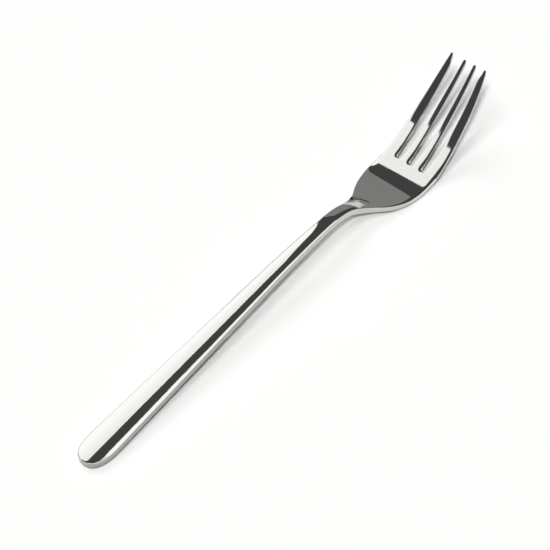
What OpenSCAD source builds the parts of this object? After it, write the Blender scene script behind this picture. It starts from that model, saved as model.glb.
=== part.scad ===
// Dessert fork: one piece of polished stainless steel, lying on a table with its tines turned up.
// X runs from the free end of the handle to the tine tips, Y across the head and Z up from the table.
// The origin is on the table, under the middle of the fork's length.
// The piece is drawn as its zones, which meet face to face and never move against each other.
// The profile is drawn with the handle level, as a straight line and five arcs that run smoothly
// into each other, and is then tilted until the handle end and the heel of the palm both touch.

/* [Handle] */
// Length of the straight handle, from its free end to the start of the stem
handle_l = 84; // [60:0.5:110]
// Width that the handle tapers from, at its free end
handle_w = 10.6; // [9:0.2:14]
// Thickness of the handle along its middle
handle_t = 3.1; // [2.4:0.1:4]
// Radius of the crown across the upper face at the free end, which narrows with the handle
crown_r = 21; // [16:1:60]
// Length of the rounded end
end_l = 10; // [5:0.5:14]
// How square the rounded end is: 2 is an ellipse, more is squarer
end_square = 2.5; // [2:0.1:4]

/* [Stem and neck] */
// Radius of the stem's gentle curve, along the upper face
stem_r = 265; // [200:5:330]
// Slope against the handle where the stem ends
stem_turn = 6.3; // [4.5:0.1:8]
// Width of the neck at its narrowest
neck_w = 4.4; // [3.4:0.2:6]
// Length of the narrowest stretch, between the handle's taper and the palm's hollow curves
narrow_l = 10; // [5:0.5:20]
// Radius of the neck's arch, along the upper face
arch_r = 26.5; // [22:0.5:40]
// Slope against the handle where the neck ends
arch_turn = 36.5; // [31:0.5:40]
// Thickness where the neck meets the palm
neck_t = 2.8; // [1.8:0.1:3.2]

/* [Palm] */
// Width of the head at its widest
head_w = 21; // [19:0.2:26]
// Thickness of the palm at the slots
palm_t = 1.5; // [1.2:0.1:2.2]
// Radius of the palm, along the upper face
palm_r = 43; // [36:1:56]
// Slope of the palm against the handle where the tines start to lift
palm_lift = 0.5; // [-1:0.5:4]
// Radius of the hollow curve at each side of the neck
fillet_r = 21; // [18:1:28]
// Radius of each rounded shoulder
shoulder_r = 31; // [24:1:36]
// Length of the level sides between the shoulders and the slot ends
side_l = 7; // [4:0.2:10]

/* [Tines] */
// Length of the inner tines past the slot ends, measured along the handle
tine_l = 31.4; // [24:0.2:36]
// How much shorter the outer tines are
tip_step = 0.8; // [0:0.1:2]
// Thickness at the tine tips
tip_t = 1; // [0.8:0.1:1.4]
// Radius of the rounded tip, seen from above
tip_r = 0.5; // [0.4:0.05:0.6]
// Radius of the bend that lifts the tines out of the palm
bend_r = 18; // [15:1:24]
// Angle of that bend
bend_turn = 25.5; // [18:0.5:30]
// Angle of the bend that still belongs to the palm
root_turn = 13; // [9:0.5:16]
// Radius of the outer tines, along the upper face
outer_tine_r = 84; // [70:1:120]
// Radius of the inner tines, which lift a little less
inner_tine_r = 106; // [80:1:140]
// How far each outer edge leans in from slot end to tip
lean = 2.4; // [1.5:0.1:3]
// How much more the outer edge draws in close to the tip
tip_draw = 1.3; // [0.6:0.1:1.6]

/* [Slots] */
// Distance between slot middles at the palm
slot_pitch = 5; // [4.6:0.05:5.4]
// Distance between slot middles at the tips
tip_pitch = 3.95; // [3.85:0.05:4.3]
// Width of the slots at their rounded ends
slot_root_w = 1.6; // [1.2:0.1:2]
// Width of the slots at the tips
slot_w = 2.9; // [2.4:0.05:3]

/* [Hidden] */
$fn = 180;
// Room left around a drawing where another drawing cuts it
clear = 5;
// Points along a slot edge, a shoulder arc and the round of the handle end
steps = 16;
// Of those points, how many the palm's outline takes in past the slot ends
run_on = 3;
// Powers that keep the draw-in of the outer edges near the tips, and the slots' narrowing near their ends
draw_power = 5;
slot_power = 4;

// Direction out of the upper face where the fork slopes down by a
function out(a) = [sin(a), cos(a)];
// Point on an arc of the profile where its slope is a, for an arc that turns up about c
function on_arc(c, r, a) = c + r * [sin(a), -cos(a)];
// Centre and radius of the circle through three points
function cross2(p, q) = p[0] * q[1] - p[1] * q[0];
function centre3(p, q, s) = p + [
    (q - p) * (q - p) * (s - p)[1] - (s - p) * (s - p) * (q - p)[1],
    (s - p) * (s - p) * (q - p)[0] - (q - p) * (q - p) * (s - p)[0]
] / (2 * cross2(q - p, s - p));

// The upper face: stem, arch, palm, bend and tine arcs, each from slope to slope
stem_c = [handle_l, -stem_r];
stem_end = stem_c + stem_r * out(stem_turn);
arch_c = stem_end - arch_r * out(stem_turn);
neck_end = arch_c + arch_r * out(arch_turn);
palm_a = -arch_turn;
palm_c = neck_end + palm_r * out(arch_turn);
bend_a = palm_lift;
bend_c = on_arc(palm_c, palm_r - bend_r, bend_a);
root_a = bend_a + root_turn;
tine_a = bend_a + bend_turn;
function tine_c(r) = on_arc(bend_c, bend_r - r, tine_a);
root_x = bend_c[0] + bend_r * sin(root_a);
tip_x = root_x + tine_l;
function tip_a(r) = asin((tip_x - tine_c(r)[0]) / r);

// The underside: one arc a zone, through the thickness at its start, middle and end
arch_s = arch_c + (arch_r - handle_t) * out(stem_turn);
arch_m = arch_c + (arch_r - handle_t / 2 - neck_t / 2) * out(stem_turn / 2 + arch_turn / 2);
arch_e = arch_c + (arch_r - neck_t) * out(arch_turn);
arch_uc = centre3(arch_s, arch_m, arch_e);
arch_ur = norm(arch_e - arch_uc);
palm_s = on_arc(palm_c, palm_r + neck_t, palm_a);
palm_m = on_arc(palm_c, palm_r + neck_t / 2 + palm_t / 2, palm_a / 2 + bend_a / 2);
palm_e = on_arc(palm_c, palm_r + palm_t, bend_a);
palm_uc = centre3(palm_s, palm_m, palm_e);
palm_ur = norm(palm_e - palm_uc);
function tine_s(r) = on_arc(tine_c(r), r + palm_t, tine_a);
function tine_m(r) = on_arc(tine_c(r), r + palm_t / 2 + tip_t / 2, tine_a / 2 + tip_a(r) / 2);
function tine_e(r) = on_arc(tine_c(r), r + tip_t, tip_a(r));
function tine_uc(r) = centre3(tine_s(r), tine_m(r), tine_e(r));
function tine_ur(r) = norm(tine_e(r) - tine_uc(r));

// The tilt that sets the lowest line of the palm on the table together with the handle end
heel = palm_uc + [0, handle_t];
tilt = asin(palm_ur / norm(heel)) - atan2(heel[1], heel[0]);
tip_uc = tine_uc(inner_tine_r);
tip_v = tip_uc[1] - sqrt(pow(tine_ur(inner_tine_r), 2) - pow(tip_x - tip_uc[0], 2));
x_end = -handle_t * sin(tilt);
x_tip = tip_x * cos(tilt) - (tip_v + handle_t) * sin(tilt);

// Heights just under the heel of the palm and just over the tips
low_v = palm_uc[1] - palm_ur - clear;
function tip_top(r) = on_arc(tine_c(r), r, tip_a(r))[1];
high_v = max(0, tip_top(outer_tine_r), tip_top(inner_tine_r)) + clear;

// Lines across the profile where one zone ends and the next begins, from above the fork to below it
function cut(c, r, a) = [on_arc(c, r / 2, a), on_arc(c, 2 * r, a)];
stem_cut = [[handle_l, clear], [handle_l, -handle_t - clear]];
arch_cut = [stem_end + clear * out(stem_turn), arch_c + arch_r / 2 * out(stem_turn)];
neck_cut = [neck_end + palm_r / 2 * out(arch_turn), arch_c + arch_r / 2 * out(arch_turn)];
bend_cut = cut(palm_c, palm_r, bend_a);
root_cut = cut(bend_c, bend_r, root_a);
tine_cut = cut(bend_c, bend_r, tine_a);
tip_cut = [[tip_x + clear, high_v], [tip_x + clear, low_v]];

// Half widths, seen from above
side_turn = acos(1 - (head_w - neck_w) / 2 / (fillet_r + shoulder_r));
shoulder_x = root_x - side_l;
fillet_x = shoulder_x - (fillet_r + shoulder_r) * sin(side_turn);
taper_l = fillet_x - narrow_l;
function handle_half(x) = handle_w / 2 + (neck_w - handle_w) / 2 * x / taper_l;
function end_half(x) = pow(1 - pow(1 - x / end_l, end_square), 1 / end_square);

// Radius of the crown where the handle ends, and the angle that its cone closes in at up to there
stem_crown_r = crown_r * handle_half(handle_l) * 2 / handle_w;
crown_fall = atan((crown_r - stem_crown_r) / handle_l);

// Slot edges and the outer edge of the head, at the share u of the way from slot end to tip
function slot_mid(i, u) = i * (slot_pitch - (slot_pitch - tip_pitch) * u * u);
function slot_half(u) = slot_w / 2 - (slot_w - slot_root_w) / 2 * pow(1 - u, slot_power);
function outer_half(u) = head_w / 2 - lean * u - tip_draw * pow(u, draw_power);

// Sets a piece drawn with the handle level down on the table
module on_table() {
    translate([-(x_end + x_tip) / 2, 0, 0])
        rotate([0, -tilt, 0])
            translate([0, 0, handle_t])
                children();
}

// Runs a profile across the full width of the head
module across() {
    rotate([90, 0, 0])
        linear_extrude(head_w + 2 * clear, center = true)
            children();
}

// Runs an outline through the full height of the profile
module through() {
    translate([0, 0, low_v])
        linear_extrude(high_v - low_v)
            children();
}

// One zone of the profile that turns up about c, between two cuts, with its own underside circle
module ring(c, r, uc, ur, from, to) {
    intersection() {
        difference() {
            translate(uc)
                circle(ur);
            translate(c)
                circle(r);
        }
        polygon([from[0], from[1], to[1], to[0]]);
    }
}

// The handle seen from above, with its rounded end
module handle_outline() {
    end = [for (i = [0 : steps]) let (x = end_l * (1 - cos(90 * i / steps)))
        [x, end_half(x) * handle_half(x)]];
    far = [handle_l, handle_half(handle_l)];
    polygon([
        for (p = end) p,
        far,
        [far[0], -far[1]],
        for (i = [0 : steps - 1]) [end[steps - i][0], -end[steps - i][1]]
    ]);
}

// One side of stem, neck and palm seen from above, out to a little past the slot ends
half_outline = [
    [handle_l - clear, handle_half(handle_l - clear)],
    [taper_l, neck_w / 2],
    for (i = [0 : steps]) let (a = side_turn * i / steps)
        [fillet_x + fillet_r * sin(a), neck_w / 2 + fillet_r * (1 - cos(a))],
    for (i = [1 : steps]) let (a = side_turn * (1 - i / steps))
        [shoulder_x - shoulder_r * sin(a), head_w / 2 - shoulder_r * (1 - cos(a))],
    for (i = [0 : run_on])
        [root_x + tine_l * i / steps, outer_half(i / steps)]
];

// Stem, neck and palm seen from above
module head_outline() {
    last = len(half_outline) - 1;
    polygon([
        for (p = half_outline) p,
        for (i = [0 : last]) [half_outline[last - i][0], -half_outline[last - i][1]]
    ]);
}

// The rounded end and first stretch of slot i
module slot_outline(i) {
    translate([root_x, i * slot_pitch])
        circle(slot_root_w / 2);
    us = [for (k = [0 : run_on + 1]) k / steps];
    polygon([
        for (u = us) [root_x + tine_l * u, slot_mid(i, u) + slot_half(u)],
        for (k = [run_on + 1 : -1 : 0]) [root_x + tine_l * us[k], slot_mid(i, us[k]) - slot_half(us[k])]
    ]);
}

// One tine seen from above, on the left side: the outer one, or the inner one next to the middle
module tine_outline(outer) {
    last = tip_x - tip_r - (outer ? tip_step : 0);
    us = [for (k = [0 : steps]) min(k / steps, (last - root_x) / tine_l)];
    near = [for (u = us) outer ? slot_mid(1, u) + slot_half(u) : slot_half(u)];
    far = [for (u = us) outer ? outer_half(u) : slot_mid(1, u) - slot_half(u)];
    tip_y = outer ? far[steps] - tip_r : (near[steps] + far[steps]) / 2;
    polygon([
        for (k = [0 : steps - 1]) [root_x + tine_l * us[k], near[k]],
        [last, tip_y - tip_r],
        [last, tip_y + tip_r],
        for (k = [steps - 1 : -1 : 0]) [root_x + tine_l * us[k], far[k]]
    ]);
    translate([last, tip_y])
        circle(tip_r);
}

// The straight, tapered handle, crowned by a cone whose top line is level
module handle() {
    color("silver")
        on_table()
            intersection() {
                translate([0, 0, -handle_t])
                    linear_extrude(handle_t + clear)
                        handle_outline();
                rotate([0, -crown_fall, 0])
                    translate([-clear, 0, -crown_r])
                        rotate([0, 90, 0])
                            cylinder(
                                handle_l + 2 * clear,
                                crown_r + clear * tan(crown_fall),
                                stem_crown_r - clear * tan(crown_fall)
                            );
            }
}

// One crowned zone that turns down about c, between two cuts, with its own underside circle
module arched(c, r, uc, ur, from, to) {
    intersection() {
        across()
            difference() {
                polygon([from[0], from[1], to[1], to[0]]);
                translate(uc)
                    circle(ur);
            }
        through()
            head_outline();
        translate([c[0], 0, c[1]])
            rotate([90, 0, 0])
                rotate_extrude()
                    intersection() {
                        translate([r - stem_crown_r, 0])
                            circle(stem_crown_r);
                        translate([r - handle_t - clear, -handle_w])
                            square([handle_t + 2 * clear, 2 * handle_w]);
                    }
    }
}

// The slim stem, which leads the handle gently into the neck
module stem() {
    color("silver")
        on_table()
            arched(stem_c, stem_r, stem_c, stem_r - handle_t, stem_cut, arch_cut);
}

// The arched neck, which carries the crown on as far as the palm
module neck() {
    color("silver")
        on_table()
            arched(arch_c, arch_r, arch_uc, arch_ur, arch_cut, neck_cut);
}

// The palm: heel, shoulders and the rounded slot ends
module palm() {
    color("silver")
        on_table()
            intersection() {
                across() {
                    ring(palm_c, palm_r, palm_uc, palm_ur, neck_cut, bend_cut);
                    ring(bend_c, bend_r, bend_c, bend_r + palm_t, bend_cut, root_cut);
                }
                through()
                    difference() {
                        head_outline();
                        for (i = [-1 : 1])
                            slot_outline(i);
                    }
            }
}

// One tine with its upper face of radius r, on the left side or mirrored to the right
module tine(outer, right) {
    r = outer ? outer_tine_r : inner_tine_r;
    color("silver")
        on_table()
            mirror([0, right ? 1 : 0, 0])
                intersection() {
                    across() {
                        ring(bend_c, bend_r, bend_c, bend_r + palm_t, root_cut, tine_cut);
                        ring(tine_c(r), r, tine_uc(r), tine_ur(r), tine_cut, tip_cut);
                    }
                    through()
                        tine_outline(outer);
                }
}

// Left outer tine
module tine_1() {
    tine(true, false);
}

// Left inner tine
module tine_2() {
    tine(false, false);
}

// Right inner tine
module tine_3() {
    tine(false, true);
}

// Right outer tine
module tine_4() {
    tine(true, true);
}

handle();
stem();
neck();
palm();
tine_1();
tine_2();
tine_3();
tine_4();
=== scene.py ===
"""A dessert fork of polished stainless steel, lying tines up on a pale table.

Lengths are in millimetres up to the point where a mesh or the camera is made, and in metres from there.
X runs from the handle's free end to the tine tips, Y to the left across the head and Z up from the table.
"""
import math

import bpy
import numpy as np
from mathutils import Matrix, Vector


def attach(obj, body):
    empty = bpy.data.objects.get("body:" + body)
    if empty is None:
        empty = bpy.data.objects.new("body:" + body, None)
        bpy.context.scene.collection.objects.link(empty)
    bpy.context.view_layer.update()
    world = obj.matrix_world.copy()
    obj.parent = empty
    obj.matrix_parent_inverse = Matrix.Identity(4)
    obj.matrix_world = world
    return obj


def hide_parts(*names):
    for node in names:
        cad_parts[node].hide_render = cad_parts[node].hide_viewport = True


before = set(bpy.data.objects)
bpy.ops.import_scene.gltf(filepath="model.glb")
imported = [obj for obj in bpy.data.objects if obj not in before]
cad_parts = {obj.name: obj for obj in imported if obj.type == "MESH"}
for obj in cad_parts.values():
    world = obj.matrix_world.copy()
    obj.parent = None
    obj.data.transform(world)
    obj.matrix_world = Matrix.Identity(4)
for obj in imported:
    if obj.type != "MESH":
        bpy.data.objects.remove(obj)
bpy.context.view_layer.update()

scene = bpy.context.scene
MM = 0.001

# Sizes of the fork, drawn with its handle level
HANDLE_L = 84.0
HANDLE_W = 10.6
HANDLE_T = 3.1
CROWN_R = 21.0
END_L = 10.0
END_SQUARE = 2.5  # 2 would round the handle end as an ellipse, more makes it squarer
STEM_R = 265.0
STEM_TURN = math.radians(6.3)
NECK_W = 4.4
NARROW_L = 10.0
ARCH_R = 26.5
ARCH_TURN = math.radians(36.5)
NECK_T = 2.8
HEAD_W = 21.0
PALM_T = 1.5
PALM_R = 43.0
PALM_LIFT = math.radians(0.5)
FILLET_R = 21.0
SHOULDER_R = 31.0
SIDE_L = 7.0
TINES = 4
TINE_L = 31.4
TIP_STEP = 0.8
TIP_T = 1.0
TIP_R = 0.5
BEND_R = 18.0
BEND_TURN = math.radians(25.5)
ROOT_TURN = math.radians(13.0)
OUTER_TINE_R = 84.0
INNER_TINE_R = 106.0
LEAN = 2.4  # how far each side of the head leans in from the slot ends to the tips
TIP_DRAW = 1.3  # how far the outer tips curve in besides
DRAW_POWER = 5
SLOT_PITCH = 5.0
TIP_PITCH = 3.95
SLOT_ROOT_W = 1.6
SLOT_W = 2.9
SLOT_POWER = 4

# How far the rounding of the edges reaches into the faces: along the handle, round the palm, in the slots and
# at the tips
HANDLE_EDGE = 0.9
PALM_EDGE = 1.7
SLOT_EDGE = 1.5
TIP_EDGE = 0.2
# Length over which the neck's crown runs out into the palm
CROWN_OUT_L = 6.0
# Share of its radius up to which the curve of a crown, or of an arc of the profile, is followed
CROWN_LIMIT = 0.8
ARC_LIMIT = 0.999


def linear(hex_colour):
    """The linear colour of an sRGB hex value."""
    parts = [int(hex_colour[i:i + 2], 16) / 255 for i in (1, 3, 5)]
    return tuple(c / 12.92 if c <= 0.04045 else ((c + 0.055) / 1.055) ** 2.4 for c in parts) + (1.0,)


def add_node(tree, kind, options=None, inputs=None):
    """A node with its settings, and with each input set to a value or linked to an output."""
    node = tree.nodes.new(kind)
    for name, value in (options or {}).items():
        setattr(node, name, value)
    for name, value in (inputs or {}).items():
        if isinstance(value, bpy.types.NodeSocket):
            tree.links.new(value, node.inputs[name])
        else:
            node.inputs[name].default_value = value
    return node


# The profile: centres of the arcs along the upper face and under it

def down(angle):
    """Out of the upper face where the fork slopes down by an angle."""
    return np.array([math.sin(angle), math.cos(angle)])


def up(angle):
    """Out of the underside where the fork slopes up by an angle."""
    return np.array([math.sin(angle), -math.cos(angle)])


def circle_through(p, q, s):
    """Centre and radius of the circle through three points."""
    a, b = q - p, s - p
    twice = 2 * (a[0] * b[1] - a[1] * b[0])
    centre = p + np.array([a @ a * b[1] - b @ b * a[1], b @ b * a[0] - a @ a * b[0]]) / twice
    return centre, np.linalg.norm(s - centre)


stem_c = np.array([HANDLE_L, -STEM_R])
stem_end = stem_c + STEM_R * down(STEM_TURN)
arch_c = stem_end - ARCH_R * down(STEM_TURN)
neck_end = arch_c + ARCH_R * down(ARCH_TURN)
palm_c = neck_end + PALM_R * down(ARCH_TURN)
bend_c = palm_c + (PALM_R - BEND_R) * up(PALM_LIFT)
root_a = PALM_LIFT + ROOT_TURN
tine_a = PALM_LIFT + BEND_TURN
root_x = bend_c[0] + BEND_R * math.sin(root_a)
tip_x = root_x + TINE_L
mean_turn = (STEM_TURN + ARCH_TURN) / 2
arch_under = circle_through(
    arch_c + (ARCH_R - HANDLE_T) * down(STEM_TURN),
    arch_c + (ARCH_R - HANDLE_T / 2 - NECK_T / 2) * down(mean_turn),
    arch_c + (ARCH_R - NECK_T) * down(ARCH_TURN),
)
palm_under = circle_through(
    palm_c + (PALM_R + NECK_T) * up(-ARCH_TURN),
    palm_c + (PALM_R + NECK_T / 2 + PALM_T / 2) * up((PALM_LIFT - ARCH_TURN) / 2),
    palm_c + (PALM_R + PALM_T) * up(PALM_LIFT),
)


def tine_arcs(r):
    """The arcs along the upper face and the underside of a tine of radius r."""
    c = bend_c + (BEND_R - r) * up(tine_a)
    tip_a = math.asin((tip_x - c[0]) / r)
    under = circle_through(
        c + (r + PALM_T) * up(tine_a),
        c + (r + PALM_T / 2 + TIP_T / 2) * up((tine_a + tip_a) / 2),
        c + (r + TIP_T) * up(tip_a),
    )
    return (c, r), under


tines = {r: tine_arcs(r) for r in (OUTER_TINE_R, INNER_TINE_R)}


def arc_height(x, arc, side):
    """Height of an arc at x: side is 1 for its crest and -1 for its trough."""
    c, r = arc
    share = np.clip((x - c[0]) / r, -ARC_LIMIT, ARC_LIMIT)
    return c[1] + side * r * np.sqrt(1 - share ** 2)


def top_line(x, tine_r):
    """Height of the upper face along its middle line."""
    return np.select(
        [x < HANDLE_L, x < stem_end[0], x < neck_end[0],
         x < palm_c[0] + PALM_R * math.sin(PALM_LIFT), x < bend_c[0] + BEND_R * math.sin(tine_a)],
        [0 * x, arc_height(x, (stem_c, STEM_R), 1), arc_height(x, (arch_c, ARCH_R), 1),
         arc_height(x, (palm_c, PALM_R), -1), arc_height(x, (bend_c, BEND_R), -1)],
        arc_height(x, tines[tine_r][0], -1),
    )


def under_line(x, tine_r):
    """Height of the underside along the fork."""
    return np.select(
        [x < HANDLE_L, x < stem_c[0] + (STEM_R - HANDLE_T) * math.sin(STEM_TURN),
         x < arch_c[0] + (ARCH_R - NECK_T) * math.sin(ARCH_TURN),
         x < palm_c[0] + (PALM_R + PALM_T) * math.sin(PALM_LIFT),
         x < bend_c[0] + (BEND_R + PALM_T) * math.sin(tine_a)],
        [0 * x - HANDLE_T, arc_height(x, (stem_c, STEM_R - HANDLE_T), 1), arc_height(x, arch_under, 1),
         arc_height(x, palm_under, -1), arc_height(x, (bend_c, BEND_R + PALM_T), -1)],
        arc_height(x, tines[tine_r][1], -1),
    )


# The outline, seen from above

side_turn = math.acos(1 - (HEAD_W - NECK_W) / 2 / (FILLET_R + SHOULDER_R))
shoulder_x = root_x - SIDE_L
fillet_x = shoulder_x - (FILLET_R + SHOULDER_R) * math.sin(side_turn)
meet_x = fillet_x + FILLET_R * math.sin(side_turn)
taper_l = fillet_x - NARROW_L


def taper_half(x):
    """Half the width that the handle tapers through, without its rounded end."""
    return HANDLE_W / 2 + (NECK_W - HANDLE_W) / 2 * np.minimum(x / taper_l, 1)


def half_width(x):
    """Half the width from the rounded handle end to the slots."""
    fillet = NECK_W / 2 + FILLET_R - np.sqrt(np.maximum(FILLET_R ** 2 - (x - fillet_x) ** 2, 0))
    shoulder = HEAD_W / 2 - SHOULDER_R + np.sqrt(np.maximum(SHOULDER_R ** 2 - (x - shoulder_x) ** 2, 0))
    return np.select(
        [x < fillet_x, x < meet_x, x < shoulder_x],
        [taper_half(x), fillet, shoulder],
        HEAD_W / 2,
    )


def slot_middle(i, u):
    """Middle of slot i, which is 1, 0 or -1 from the left, at a share u of the way along the tines."""
    return i * (SLOT_PITCH - (SLOT_PITCH - TIP_PITCH) * u ** 2)


def slot_half(u):
    """Half the width of a slot."""
    return SLOT_W / 2 - (SLOT_W - SLOT_ROOT_W) / 2 * (1 - u) ** SLOT_POWER


def outer_half(u):
    """Half the width over all four tines."""
    return HEAD_W / 2 - LEAN * u - TIP_DRAW * u ** DRAW_POWER


def ease(share):
    """A smooth step from 0 to 1."""
    share = np.clip(share, 0, 1)
    return share * share * (3 - 2 * share)


def crown_drop(x, y):
    """How far the crowned face lies below its middle line."""
    r = CROWN_R * taper_half(x) / (HANDLE_W / 2)
    fade = ease((neck_end[0] - x) / CROWN_OUT_L + 0.5)
    return fade * (r - np.sqrt(r ** 2 - np.minimum(np.abs(y), CROWN_LIMIT * r) ** 2))


# Fine folds where the neck's crown runs out into the palm. Each has the place along the fork where it bends,
# the Y from which it shows, its depth and its half width. From the bend it curves back to the left.
FOLDS = ((131.0, -1.9, 0.08, 0.4), (132.1, 0.7, 0.05, 0.22), (133.0, 1.2, 0.05, 0.22))
FOLD_BEND_Y = -0.4
FOLD_BACK = 0.48
FOLD_POWER = 1.81
FOLD_SLANT = 0.35
FOLD_EASE = 1.4
# Depth at which a fold is painted fully dark, as painted shade
FOLD_DARK = 0.022


def fold_dip(x, y):
    """How deep the folds are pressed into the face."""
    dip = 0 * x
    past = y - FOLD_BEND_Y
    for bend_x, start_y, depth, wide in FOLDS:
        line = bend_x - FOLD_BACK * np.maximum(past, 0) ** FOLD_POWER - FOLD_SLANT * np.minimum(past, 0)
        dip = dip + depth * ease((y - start_y) / FOLD_EASE) * np.exp(-((x - line) / wide) ** 2)
    return dip


def top_face(x, y, tine_r):
    """Height of the upper face."""
    return top_line(x, tine_r) - crown_drop(x, y) - fold_dip(x, y)


def under_face(x, y, tine_r):
    """Height of the underside, which is flat from side to side."""
    return under_line(x, tine_r)


# The sheet that both faces share: rows along the fork and columns across it

TINE_COLUMNS = 10
SLOT_COLUMNS = 6
across_tine = np.sin(np.linspace(math.pi / 2, -math.pi / 2, TINE_COLUMNS + 1))
across_slot = np.sin(np.linspace(math.pi / 2, -math.pi / 2, SLOT_COLUMNS + 1))
slot_end_r = SLOT_ROOT_W / 2 + SLOT_EDGE
head_half = HEAD_W / 2 - PALM_EDGE


def head_share(x):
    """How much of the way from neck to palm lies behind: 0 along the handle and 1 on the head."""
    return ease((x - fillet_x) / (shoulder_x - fillet_x))


def edge_reach(x):
    """How far the rounding reaches in from the outline on handle, neck and palm."""
    return HANDLE_EDGE + (PALM_EDGE - HANDLE_EDGE) * head_share(x)


def tine_edge(root_edge, u):
    """How far the rounding reaches in from a side of a tine, less and less towards the tip."""
    return TIP_EDGE + (root_edge - TIP_EDGE) * (1 - u) ** 2


# Columns at the slot ends, from left to right: tine, slot, tine and so on
edges = [head_half]
for i in (1, 0, -1):
    edges += [i * SLOT_PITCH + slot_end_r, i * SLOT_PITCH - slot_end_r]
edges.append(-head_half)
column_y = [head_half]
column_bulge = [0.0]
tine_starts = []
for lane, (left, right) in enumerate(zip(edges, edges[1:])):
    share = across_slot if lane % 2 else across_tine
    if lane % 2 == 0:
        tine_starts.append(len(column_y) - 1)
    column_y += list((left + right) / 2 + (left - right) / 2 * share[1:])
    column_bulge += list(slot_end_r * np.sqrt(1 - share[1:] ** 2) * (lane % 2))
column_share = np.array(column_y) / head_half
column_bulge = np.array(column_bulge)

# Rows from the handle end to the slot ends, closest together at the folds. The first ones follow the rounded
# handle end, and the last ones the slot ends.
END_ROWS_L = 30.0
SLOT_ROWS_L = 6.0
FOLD_ROWS = (124.5, 134.5)
row_stops = [0, END_ROWS_L, HANDLE_L, stem_end[0], *FOLD_ROWS, root_x]
ROW_COUNTS = (25, 29, 23, 23, 63, 43)
row_x = [np.linspace(a, b, n, endpoint=False) for a, b, n in zip(row_stops, row_stops[1:], ROW_COUNTS)]
row_x = np.concatenate(row_x + [[root_x]])
end_round = 1 - (1 - np.minimum(np.abs(column_share), 1) ** END_SQUARE) ** (1 / END_SQUARE)
end_x = HANDLE_EDGE + (END_L - HANDLE_EDGE) * end_round

verts = []
tine_of = []
reach_of = []


def keep(x, y, tine_r, reach):
    """Keeps one point of the sheet, with the reach of the rounding beside it, and gives its number."""
    verts.append((x, y))
    tine_of.append(tine_r)
    reach_of.append(reach)
    return len(verts) - 1


# Lengths over which the slope of the outline and of the faces is measured
OUTLINE_STEP = 0.01
FACE_STEP = 0.005

body = []
for x in row_x:
    along = x + end_x * max(0, 1 - x / END_ROWS_L) - column_bulge * ease(1 - (root_x - x) / SLOT_ROWS_L)
    slope = (half_width(along + OUTLINE_STEP) - half_width(along - OUTLINE_STEP)) / (2 * OUTLINE_STEP)
    half = half_width(along) - edge_reach(along) * np.sqrt(1 + slope ** 2)
    body.append([keep(a, h * c, OUTER_TINE_R, edge_reach(a)) for a, h, c in zip(along, half, column_share)])
for point in body[-1][1:-1]:
    reach_of[point] = SLOT_EDGE

TINE_ROWS = 44
NOSE_L = 3.0


def lay_tine(number):
    """Rows of one tine, from the slot ends to its rounded nose, numbered from the left."""
    outer = number in (0, TINES - 1)
    side = 1 if number < TINES / 2 else -1
    tine_r = OUTER_TINE_R if outer else INNER_TINE_R
    last = tip_x - TIP_R - (TIP_STEP if outer else 0)
    start = tine_starts[number]
    rows = [body[-1][start:start + TINE_COLUMNS + 1]]
    for x in np.linspace(root_x, last, TINE_ROWS + 1)[1:]:
        u = (x - root_x) / TINE_L
        near_edge = tine_edge(SLOT_EDGE, u)
        far_edge = tine_edge(PALM_EDGE if outer else SLOT_EDGE, u)
        nose = ease(1 - (last - x) / NOSE_L)
        if outer:
            near, far = slot_middle(1, u) + slot_half(u), outer_half(u)
            # The slot side of an outer tine turns in towards its tip
            near += nose ** 2 * (far - 2 * TIP_R - near)
        else:
            near, far = slot_half(u), slot_middle(1, u) - slot_half(u)
        near, far = near + near_edge, far - far_edge
        middle, half = side * (near + far) / 2, (far - near) / 2
        bulge = (TIP_R - TIP_EDGE) * nose
        row = []
        for c in across_tine:
            edge = far_edge if side * c > 0 else near_edge
            row.append(keep(x + bulge * math.sqrt(1 - c * c), middle + half * c, tine_r, edge))
        rows.append(row)
    return rows


tine_rows = [lay_tine(number) for number in range(TINES)]
sheet = np.array(verts)
radius_of = np.array(tine_of)


def height(face, x, y):
    """Height of a face over the sheet's points, each with its own tine radius."""
    return np.where(radius_of == OUTER_TINE_R, face(x, y, OUTER_TINE_R), face(x, y, INNER_TINE_R))


def slopes(face):
    """Slopes of a face along the fork and across it."""
    x, y = sheet.T
    h = FACE_STEP
    along = (height(face, x + h, y) - height(face, x - h, y)) / (2 * h)
    across = (height(face, x, y + h) - height(face, x, y - h)) / (2 * h)
    return np.stack([along, across], 1)


# A polished palm is never quite true: a slight wave leans its upper face, a little more on the right
WAVE_FROM, WAVE_FULL, WAVE_TO = 144.2, 148.4, 163.0
WAVE_LEAN = math.radians(3.6)
WAVE_SKEW = 0.012


def wave_lean(x, y):
    """How much the wave leans the upper face along the fork."""
    rise = ease((x - WAVE_FROM) / (WAVE_FULL - WAVE_FROM))
    return WAVE_LEAN * (1 - WAVE_SKEW * y) * rise * (1 - ease((x - WAVE_FULL) / (WAVE_TO - WAVE_FULL)))


# The outline of the sheet as one loop: out along each tine's left edge and back along its right edge
loop = [row[0] for row in body]
for number, rows in enumerate(tine_rows):
    loop += [row[0] for row in rows[1:]]
    loop += rows[-1][1:]
    loop += [row[-1] for row in rows[-2:0:-1]]
    first = tine_starts[number] + TINE_COLUMNS
    loop += body[-1][first:tine_starts[number + 1] + 1] if number < TINES - 1 else []
loop += [row[-1] for row in body[::-1]]
loop += body[0][-2:0:-1]
loop = np.array(loop)

rim = sheet[loop]
ahead = np.roll(rim, -1, 0) - rim
ahead /= np.linalg.norm(ahead, axis=1)[:, None]
tangent = ahead + np.roll(ahead, 1, 0)
tangent /= np.linalg.norm(tangent, axis=1)[:, None]
outward = np.stack([-tangent[:, 1], tangent[:, 0]], 1)
reach = np.array(reach_of)[loop]

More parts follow.
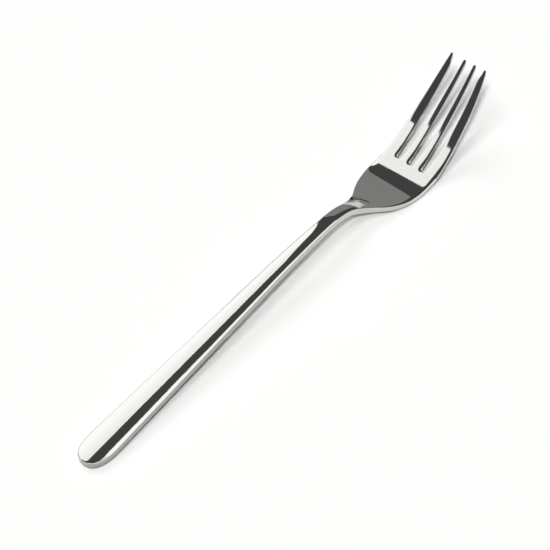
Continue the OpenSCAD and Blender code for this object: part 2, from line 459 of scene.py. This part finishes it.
# The buffed edge first rolls off gently, for a small share of its turn, and then turns over into the side.
# The powers say how late each part of the turn comes: along the handle, on the head and at the handle end.
EDGE_RINGS = 14
EDGE_FINE = 8
EDGE_BUNCH = 1.6
EDGE_SOFT = 0.11
SOFT_POWER, HEAD_SOFT_POWER = 2.0, 1.2
TURN_POWER, HEAD_TURN_POWER, END_TURN_POWER = 8, 14, 3
edge_way = 1 - (1 - np.linspace(0, 1, EDGE_RINGS * EDGE_FINE + 1)) ** EDGE_BUNCH
on_head = head_share(rim[:, 0])
on_end = ease(1 - rim[:, 0] / END_L)
soft_power = SOFT_POWER + (HEAD_SOFT_POWER - SOFT_POWER) * on_head
turn_power = TURN_POWER + (HEAD_TURN_POWER - TURN_POWER) * on_head + (END_TURN_POWER - TURN_POWER) * on_end
# The ground finish of the side walls, and the painted shade that greys them, start, and are full, where the
# edge has turned by this much
SIDE_FROM = math.radians(58)
SIDE_FULL = math.radians(76)
# The sides of the head are buffed along with its faces, so little of the ground finish is left on them, and
# they get little of the sides' painted shade, which is strongest along the handle
HEAD_GROUND_AND_SHADE = 0.2
GROUND_SHADE_FROM, GROUND_SHADE_TO = 45.0, 118.0
ground_and_shade_share = 1 - (1 - HEAD_GROUND_AND_SHADE) * ease((rim[:, 0] - GROUND_SHADE_FROM) / (GROUND_SHADE_TO - GROUND_SHADE_FROM))


def round_edge(face, sign):
    """Rings of points, normals and ground finish with its painted shade that round one face over into the
    side wall.
    """
    slope = slopes(face)[loop]
    if sign > 0:
        slope[:, 0] += wave_lean(*rim.T)
    lean = np.arctan(-sign * (slope * outward).sum(1))
    along = (slope * tangent).sum(1)
    turns = []
    for way in edge_way:
        turned = EDGE_SOFT * way ** soft_power + (1 - EDGE_SOFT) * way ** turn_power
        turns.append(lean + (math.pi / 2 - lean) * turned)
    out, fall = [0 * lean], [0 * lean]
    for before, after, step in zip(turns, turns[1:], np.diff(edge_way)):
        out.append(out[-1] + step * np.cos((before + after) / 2))
        fall.append(fall[-1] + step * np.sin((before + after) / 2))
    scale = reach / out[-1]
    z = height(face, *sheet.T)[loop]
    rings = []
    for k in range(0, EDGE_RINGS * EDGE_FINE + 1, EDGE_FINE):
        points = np.column_stack([rim + (scale * out[k])[:, None] * outward, z - sign * scale * fall[k]])
        rise = np.cos(turns[k])
        flat = np.sin(turns[k])[:, None] * outward - (sign * rise * along)[:, None] * tangent
        # The ground share also paints the side walls greyer, as painted shade
        ground = ground_and_shade_share * ease((turns[k] - SIDE_FROM) / (SIDE_FULL - SIDE_FROM))
        rings.append((points, np.column_stack([flat, sign * rise]), ground))
    return rings


# The polishing wheel hardly reaches the hollow between neck and palm, which stays dull, less on the right
HOLLOW_X = 126.5
HOLLOW_L = 2.6
HOLLOW_RIGHT = 0.3
HOLLOW_FROM_Y, HOLLOW_FULL_Y = -0.5, 2.0
# The dull hollow is also painted darker, as painted shade, and by this much more along its left edge
HOLLOW_SHADE = 0.35
LEFT_SHADE = 0.6
SHADE_FROM_Y, SHADE_FULL_Y = 0.6, 2.0
# How far down the side wall the painted dark line along the lower edge, a painted shade, starts
WALL_LINE = 0.75


def hollow(x, y):
    """How dull the upper face is between neck and palm."""
    to_left = ease((y - HOLLOW_FROM_Y) / (HOLLOW_FULL_Y - HOLLOW_FROM_Y))
    return np.exp(-((x - HOLLOW_X) / HOLLOW_L) ** 2) * (HOLLOW_RIGHT + (1 - HOLLOW_RIGHT) * to_left)


def top_shade(x, y):
    """How much painted shade darkens the folds, and the dull hollow, most of all along its left edge."""
    to_left = ease((y - SHADE_FROM_Y) / (SHADE_FULL_Y - SHADE_FROM_Y))
    dull = hollow(x, y) * (HOLLOW_SHADE + LEFT_SHADE * to_left)
    return np.minimum(fold_dip(x, y) / FOLD_DARK + dull, 1)


# The whole fork as one closed skin

def face_points(face, sign):
    """Points and normals of one face."""
    slope = slopes(face)
    if sign > 0:
        slope[:, 0] += wave_lean(*sheet.T)
    skin = np.column_stack([sheet, height(face, *sheet.T)])
    return skin, np.column_stack([-sign * slope, sign * np.ones(len(sheet))])


top_points, top_normals = face_points(top_face, 1)
under_points, under_normals = face_points(under_face, -1)
points = [top_points, under_points]
normals = [top_normals, under_normals]
count = len(sheet)
# The painted shade line marks the folds, the dull hollow and the foot of the sides, which are painted dark as
# painted shade
finish = {
    "ground_and_shaded_side": [np.zeros(2 * count)],
    "painted_shade_line": [top_shade(*sheet.T), np.zeros(count)],
    "hollow": [hollow(*sheet.T), np.zeros(count)],
}
upper_rings, lower_rings = round_edge(top_face, 1)[1:], round_edge(under_face, -1)[:0:-1]
wall = [above + WALL_LINE * (below - above) for above, below in zip(upper_rings[-1], lower_rings[0])]
rings = [loop]
for upper, lower, ring_set in ((1, 0, upper_rings), (0, 0, [wall]), (0, 1, lower_rings)):
    for ring_points, ring_normals, ring_ground_and_shade in ring_set:
        rings.append(np.arange(len(loop)) + sum(len(p) for p in points))
        points.append(ring_points)
        normals.append(ring_normals)
        finish["ground_and_shaded_side"].append(ring_ground_and_shade)
        finish["painted_shade_line"].append(lower * np.ones(len(loop)) + upper * top_shade(*rim.T))
        finish["hollow"].append(upper * hollow(*rim.T))
rings.append(loop + count)

faces = []
for rows in [body] + tine_rows:
    for near, far in zip(rows, rows[1:]):
        for j in range(len(near) - 1):
            quad = [near[j], near[j + 1], far[j + 1], far[j]]
            faces.append(quad)
            faces.append([count + v for v in reversed(quad)])
for inner, outer in zip(rings, rings[1:]):
    for p in range(len(loop)):
        q = (p + 1) % len(loop)
        faces.append([int(inner[p]), int(inner[q]), int(outer[q]), int(outer[p])])

# Set down on the table: the handle end and the heel of the palm both touch it
heel = palm_under[0] + np.array([0, HANDLE_T])
tilt = math.asin(palm_under[1] / np.hypot(*heel)) - math.atan2(heel[1], heel[0])
tip_v = arc_height(np.array([tip_x]), tines[INNER_TINE_R][1], -1)[0]
sine, cosine = math.sin(tilt), math.cos(tilt)
middle_x = (-HANDLE_T * sine + tip_x * cosine - (tip_v + HANDLE_T) * sine) / 2
lie = np.array([[cosine, 0, -sine], [0, 1, 0], [sine, 0, cosine]])
points = (np.vstack(points) + [0, 0, HANDLE_T]) @ lie.T - [middle_x, 0, 0]
normals = np.vstack(normals) @ lie.T
normals /= np.linalg.norm(normals, axis=1)[:, None]

mesh = bpy.data.meshes.new("fork")
mesh.from_pydata((points * MM).tolist(), [], faces)
mesh.validate()
mesh.shade_smooth()
mesh.normals_split_custom_set_from_vertices(normals.tolist())
for name, values in finish.items():
    mesh.attributes.new(name, "FLOAT", "POINT").data.foreach_set("value", np.concatenate(values))
fork = bpy.data.objects.new("fork", mesh)
scene.collection.objects.link(fork)

# Mirror-polished 18/10 stainless steel: a pale, nearly neutral metal that shows its surroundings almost
# sharply, with faint lines left along the fork by the polishing wheel. The sides are only ground, so they
# look duller, and they are painted greyer as painted shade. The folds, the dull hollow and the foot of the
# sides are painted dark as painted shade.
STEEL = "#d0cfcd"
SHADED_SIDE_STEEL = "#a8a7a5"
PAINTED_SHADE_STEEL = "#5e5d5b"
POLISH_LINE_W = 0.35  # real lines are about 0.02 mm apart, drawn coarser so that they show
POLISH_LINE_L = 14.0
POLISH_CLOUD = 9.0
POLISH_DEPTH = 0.005
POLISH_ROUGH = (0.02, 0.06)
GROUND_ROUGH = (0.22, 0.34)
HOLLOW_ROUGH = 0.3
# The spans of the noises that the roughness follows
WEAR_SPAN = (0.15, 0.4)
LINE_SPAN = (0.3, 0.7)
steel = bpy.data.materials.new("mirror_polished_stainless_steel")
steel.use_nodes = True
tree = steel.node_tree
shader = tree.nodes["Principled BSDF"]
shader.inputs["Metallic"].default_value = 1.0
place = add_node(tree, "ShaderNodeTexCoord")
stretched = add_node(tree, "ShaderNodeVectorMath", {"operation": "MULTIPLY"}, {
    0: place.outputs["Object"], 1: [1 / (w * MM) for w in (POLISH_LINE_L, POLISH_LINE_W, POLISH_LINE_W)]})
lines = add_node(tree, "ShaderNodeTexNoise", inputs={
    "Vector": stretched.outputs["Vector"], "Scale": 1.0, "Detail": 3.0, "Roughness": 0.6})
cloud = add_node(tree, "ShaderNodeTexNoise", inputs={
    "Vector": place.outputs["Object"], "Scale": 1 / (POLISH_CLOUD * MM), "Detail": 2.0})
side = add_node(tree, "ShaderNodeAttribute", {"attribute_name": "ground_and_shaded_side"})
# Painted shade: the ground side walls are painted greyer
colour = add_node(tree, "ShaderNodeMix", {"data_type": "RGBA"}, {
    0: side.outputs["Fac"], 6: linear(STEEL), 7: linear(SHADED_SIDE_STEEL)})
painted_dark = add_node(tree, "ShaderNodeAttribute", {"attribute_name": "painted_shade_line"})
# Painted shade: the folds, the dull hollow and the foot of the sides are painted dark
colour = add_node(tree, "ShaderNodeMix", {"data_type": "RGBA"}, {
    0: painted_dark.outputs["Fac"], 6: colour.outputs[2], 7: linear(PAINTED_SHADE_STEEL)})
tree.links.new(colour.outputs[2], shader.inputs["Base Color"])
wear = add_node(tree, "ShaderNodeMath", {"operation": "MULTIPLY"}, {
    0: lines.outputs["Fac"], 1: cloud.outputs["Fac"]})
polish = add_node(tree, "ShaderNodeMapRange", inputs={
    "Value": wear.outputs[0], "From Min": WEAR_SPAN[0], "From Max": WEAR_SPAN[1],
    "To Min": POLISH_ROUGH[0], "To Max": POLISH_ROUGH[1]})
grind = add_node(tree, "ShaderNodeMapRange", inputs={
    "Value": lines.outputs["Fac"], "From Min": LINE_SPAN[0], "From Max": LINE_SPAN[1],
    "To Min": GROUND_ROUGH[0], "To Max": GROUND_ROUGH[1]})
dull = add_node(tree, "ShaderNodeAttribute", {"attribute_name": "hollow"})
rough = add_node(tree, "ShaderNodeMix", {"data_type": "FLOAT"}, {
    0: dull.outputs["Fac"], 2: polish.outputs["Result"], 3: HOLLOW_ROUGH})
rough = add_node(tree, "ShaderNodeMix", {"data_type": "FLOAT"}, {
    0: side.outputs["Fac"], 2: rough.outputs[0], 3: grind.outputs["Result"]})
tree.links.new(rough.outputs[0], shader.inputs["Roughness"])
scratches = add_node(tree, "ShaderNodeBump", inputs={
    "Strength": POLISH_DEPTH, "Distance": POLISH_LINE_W * MM, "Height": lines.outputs["Fac"]})
tree.links.new(scratches.outputs["Normal"], shader.inputs["Normal"])
mesh.materials.append(steel)

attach(fork, "root")
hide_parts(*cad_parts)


# The studio: a table that takes the shadow, and cards that show only as reflections in the steel

def studio_material(name, colour, glow=None):
    """A plain finish for the table or a card: matt where no glow is given, otherwise shining by itself."""
    material = bpy.data.materials.new(name)
    material.use_nodes = True
    tree = material.node_tree
    if glow is None:
        shader = tree.nodes["Principled BSDF"]
        shader.inputs["Base Color"].default_value = linear(colour)
        shader.inputs["Roughness"].default_value = 1.0
        shader.inputs["Specular IOR Level"].default_value = 0.0
        return material
    tree.nodes.clear()
    light = add_node(tree, "ShaderNodeEmission", inputs={"Color": linear(colour), "Strength": glow})
    add_node(tree, "ShaderNodeOutputMaterial", inputs={"Surface": light.outputs["Emission"]})
    return material


def card(name, corners, material, only_reflected=True):
    """A flat card through its corners in millimetres."""
    face = bpy.data.meshes.new(name)
    face.from_pydata([[c * MM for c in corner] for corner in corners], [], [list(range(len(corners)))])
    face.materials.append(material)
    made = bpy.data.objects.new(name, face)
    scene.collection.objects.link(made)
    if only_reflected:
        made.visible_camera = False
        made.visible_diffuse = False
        made.visible_shadow = False


def oblong(first, second):
    """Corners of a rectangle from its spans in two directions."""
    return [(first[0], second[0]), (first[1], second[0]), (first[1], second[1]), (first[0], second[1])]


def hung(corners, z=0.0):
    """Corners of a card that lies level, from its places in X and Y."""
    return [(x, y, z) for x, y in corners]


def stood_across(corners, x):
    """Corners of a card that stands upright across the fork's length, from its places in Y and Z."""
    return [(x, y, z) for y, z in corners]


def stood_along(corners, y):
    """Corners of a card that stands upright along the fork, from its places in X and Z."""
    return [(x, y, z) for x, z in corners]


# Where the cards are: level over the fork, upright beyond the tips, beyond the handle and far to the left
CARD_Z = 800.0
TIP_WALL_X = 950.0
HANDLE_WALL_X = -1900.0
LEFT_WALL_Y = 2500.0
LEFT_WALL_Z = (0, 1700)
# The hung cards, from the far side of the fork to the near one: softbox, black bar, strip light and flags
SOFT_FAR = 1265
SOFT_NEAR = 300
BAR_NEAR = 65
FLAG_NEAR = -90
STRIP_NEAR = -500
STRIP_X = (80, 720)
soft_near = [(-300, SOFT_NEAR), (370, SOFT_NEAR)]
# The softbox's curved sides, which draw the edges of the light zones on the palm and the tines
soft_tip_side = [
    (439, 385), (493, 437), (552, 494), (591, 545), (628, 616),
    (669, 687), (737, 814), (814, 948), (900, 1110), (1000, SOFT_FAR)]
soft_handle_side = [(-660, SOFT_FAR), (-640, 1000), (-450, 440), (-420, 395), (-390, 350), (-350, 318)]
# Outer sides of the black cards beside it, which draw the far edges of the dark zones
dark_tip_side = [
    (846, 847), (864, 760), (876, 640), (882, 560), (906, 500), (TIP_WALL_X, 440), (TIP_WALL_X, SOFT_NEAR)]
dark_handle_side = [(-500, 540), (-586, 620), (-836, 720), (-1196, 860), (HANDLE_WALL_X, 1100)]
# The near flag, with a step that draws the dark line round the handle end
near_flag = [
    (HANDLE_WALL_X, FLAG_NEAR), (-460, FLAG_NEAR), (-460, -310), (-100, -310), (-100, FLAG_NEAR),
    (STRIP_X[0], FLAG_NEAR), (STRIP_X[0], BAR_NEAR), (HANDLE_WALL_X, BAR_NEAR)]
# The grey card, whose curved side draws the rounded right end of the grey zone on the palm
grey_side = [
    (295, 0), (1200, 0), (1200, 1600), (640, 1600), (590, 1000), (540, 900),
    (490, 830), (455, 760), (420, 690), (385, 610), (345, 460), (310, 250)]

# Matt white paint: an even pale ground that keeps the shadow
TABLE_HALF = 6000.0
table_paint = studio_material("matt_white_paint", "#fbfbfa")
table_span = (-TABLE_HALF, TABLE_HALF)
card("table", hung(oblong(table_span, table_span)), table_paint, only_reflected=False)

# White diffuser cloth, lit from behind: a bright even field, a little dimmer along the softbox's near edge
SOFT_GLOW = (1.28, 1.55)
SOFT_FULL_Y = 750.0
STRIP_GLOW = 1.5
soft_cloth = studio_material("softbox_diffuser_cloth", "#ffffff", SOFT_GLOW[1])
tree = soft_cloth.node_tree
spot = add_node(tree, "ShaderNodeNewGeometry")
spot = add_node(tree, "ShaderNodeSeparateXYZ", inputs={"Vector": spot.outputs["Position"]})
glow = add_node(tree, "ShaderNodeMapRange", inputs={
    "Value": spot.outputs["Y"], "From Min": SOFT_NEAR * MM, "From Max": SOFT_FULL_Y * MM,
    "To Min": SOFT_GLOW[0], "To Max": SOFT_GLOW[1]})
tree.links.new(glow.outputs["Result"], tree.nodes["Emission"].inputs["Strength"])
strip_cloth = studio_material("strip_light_diffuser_cloth", "#ffffff", STRIP_GLOW)
card("softbox", hung(soft_near + soft_tip_side + soft_handle_side, CARD_Z), soft_cloth)
card("strip_light", hung(oblong(STRIP_X, (STRIP_NEAR, BAR_NEAR)), CARD_Z), strip_cloth)

# Black cloth: dark, but not as dark as the doubled cloth of the near flags. Its glow is the stray light on it
BLACK_GLOW = 0.075
DEEP_GLOW = 0.02
black_cloth = studio_material("black_cloth", "#ffffff", BLACK_GLOW)
deep_cloth = studio_material("doubled_black_cloth", "#ffffff", DEEP_GLOW)
handle_corner = (HANDLE_WALL_X, SOFT_NEAR)
dark_left = [handle_corner, soft_near[0]] + soft_handle_side[:1:-1] + dark_handle_side
dark_right = [soft_near[1]] + dark_tip_side[::-1] + soft_tip_side[::-1]
card("black_bar", hung(oblong((HANDLE_WALL_X, TIP_WALL_X), (BAR_NEAR, SOFT_NEAR)), CARD_Z), black_cloth)
card("black_left", hung(dark_left, CARD_Z), black_cloth)
card("black_right", hung(dark_right, CARD_Z), black_cloth)
card("black_near", hung(near_flag, CARD_Z), deep_cloth)
card("black_end", hung(oblong((STRIP_X[1], TIP_WALL_X), (FLAG_NEAR, BAR_NEAR)), CARD_Z), deep_cloth)
# These stand round the fork, and give it the thin dark lines of its left edge and handle end
card("black_far", stood_along(oblong((1100, 2200), LEFT_WALL_Z), LEFT_WALL_Y), black_cloth)
card("black_back", stood_along(oblong((-2600, -300), LEFT_WALL_Z), LEFT_WALL_Y), black_cloth)
card("black_low", stood_across(oblong((500, 1300), (0, CARD_Z)), HANDLE_WALL_X), black_cloth)

# Grey card beyond the tips, which the palm mirrors, with black cloth just behind it and along its foot
GREY_GLOW = 0.30
CARD_GAP = 1.0
grey_paper = studio_material("grey_paper", "#ffffff", GREY_GLOW)
card("grey_wall", stood_across(grey_side, TIP_WALL_X), grey_paper)
card("black_wall", stood_across(oblong((-60, 640), (48, 810)), TIP_WALL_X + CARD_GAP), black_cloth)
card("black_edge", stood_across(oblong((404, 1200), (0, 24)), TIP_WALL_X - CARD_GAP), black_cloth)

# The room is white to the camera and in the steel, and adds only a little light of its own
AMBIENT = 0.03
world = bpy.data.worlds.new("white_room")
scene.world = world
world.use_nodes = True
tree = world.node_tree
tree.nodes.clear()
path = add_node(tree, "ShaderNodeLightPath")
shown = add_node(tree, "ShaderNodeMath", {"operation": "MAXIMUM"}, {
    0: path.outputs["Is Camera Ray"], 1: path.outputs["Is Glossy Ray"]})
shown = add_node(tree, "ShaderNodeMath", {"operation": "MAXIMUM"}, {
    0: shown.outputs[0], 1: path.outputs["Is Transmission Ray"]})
strength = add_node(tree, "ShaderNodeMapRange", inputs={
    "Value": shown.outputs[0], "To Min": AMBIENT, "To Max": 1.0})
sky = add_node(tree, "ShaderNodeBackground", inputs={
    "Color": linear("#ffffff"), "Strength": strength.outputs["Result"]})
add_node(tree, "ShaderNodeOutputWorld", inputs={"Surface": sky.outputs["Background"]})


def soft_lamp(name, slant, wide, share):
    """A lamp that doesn't show in the steel and gives the table a share of its light.

    The light comes down a slant, given as its reach along X and Y for each unit of height, and wide is the
    angle in degrees that the lamp fills.
    """
    towards = Vector((*slant, 1.0))
    lamp = bpy.data.lights.new(name, "SUN")
    lamp.angle = math.radians(wide)
    lamp.energy = share * math.pi * towards.length
    made = bpy.data.objects.new(name, lamp)
    made.rotation_euler = towards.to_track_quat("Z", "Y").to_euler()
    made.visible_glossy = False
    scene.collection.objects.link(made)


# A wide lamp beyond the handle end shades the table beside the neck and the palm, a wider one on the left
# shades it along the right of the handle, and a small one near the camera between and beside the tines
soft_lamp("main_lamp", slant=(-0.55, -0.02), wide=20, share=0.32)
soft_lamp("left_lamp", slant=(0.2, 0.7), wide=34, share=0.18)
soft_lamp("near_lamp", slant=(-0.75, -0.42), wide=5, share=0.50)

# The camera, at the photograph's viewing angle: how far it looks down and round, and from where
VIEW_DOWN = math.radians(48.8915)
VIEW_TURN = math.radians(50.1038)
VIEW_AWAY = 632.936
VIEW_AT = Vector((91.9189 - middle_x, 4.6351, 0.0))
FOCAL_PIXELS = 2018.374
IMAGE_PIXELS = 550
SENSOR = 36.0
CLIP_NEAR = 10.0
level = math.cos(VIEW_DOWN)
look = Vector((level * math.sin(VIEW_TURN), level * math.cos(VIEW_TURN), -math.sin(VIEW_DOWN)))
right = Vector((math.cos(VIEW_TURN), -math.sin(VIEW_TURN), 0))
above = right.cross(look)
camera = bpy.data.cameras.new("camera")
camera.sensor_width = SENSOR
camera.lens = FOCAL_PIXELS / IMAGE_PIXELS * SENSOR
camera.clip_start = CLIP_NEAR * MM
viewer = bpy.data.objects.new("camera", camera)
facing = Matrix((right, above, -look)).transposed().to_4x4()
viewer.matrix_world = Matrix.Translation((VIEW_AT - look * VIEW_AWAY) * MM) @ facing
scene.collection.objects.link(viewer)
scene.camera = viewer
scene.view_settings.view_transform = "Standard"
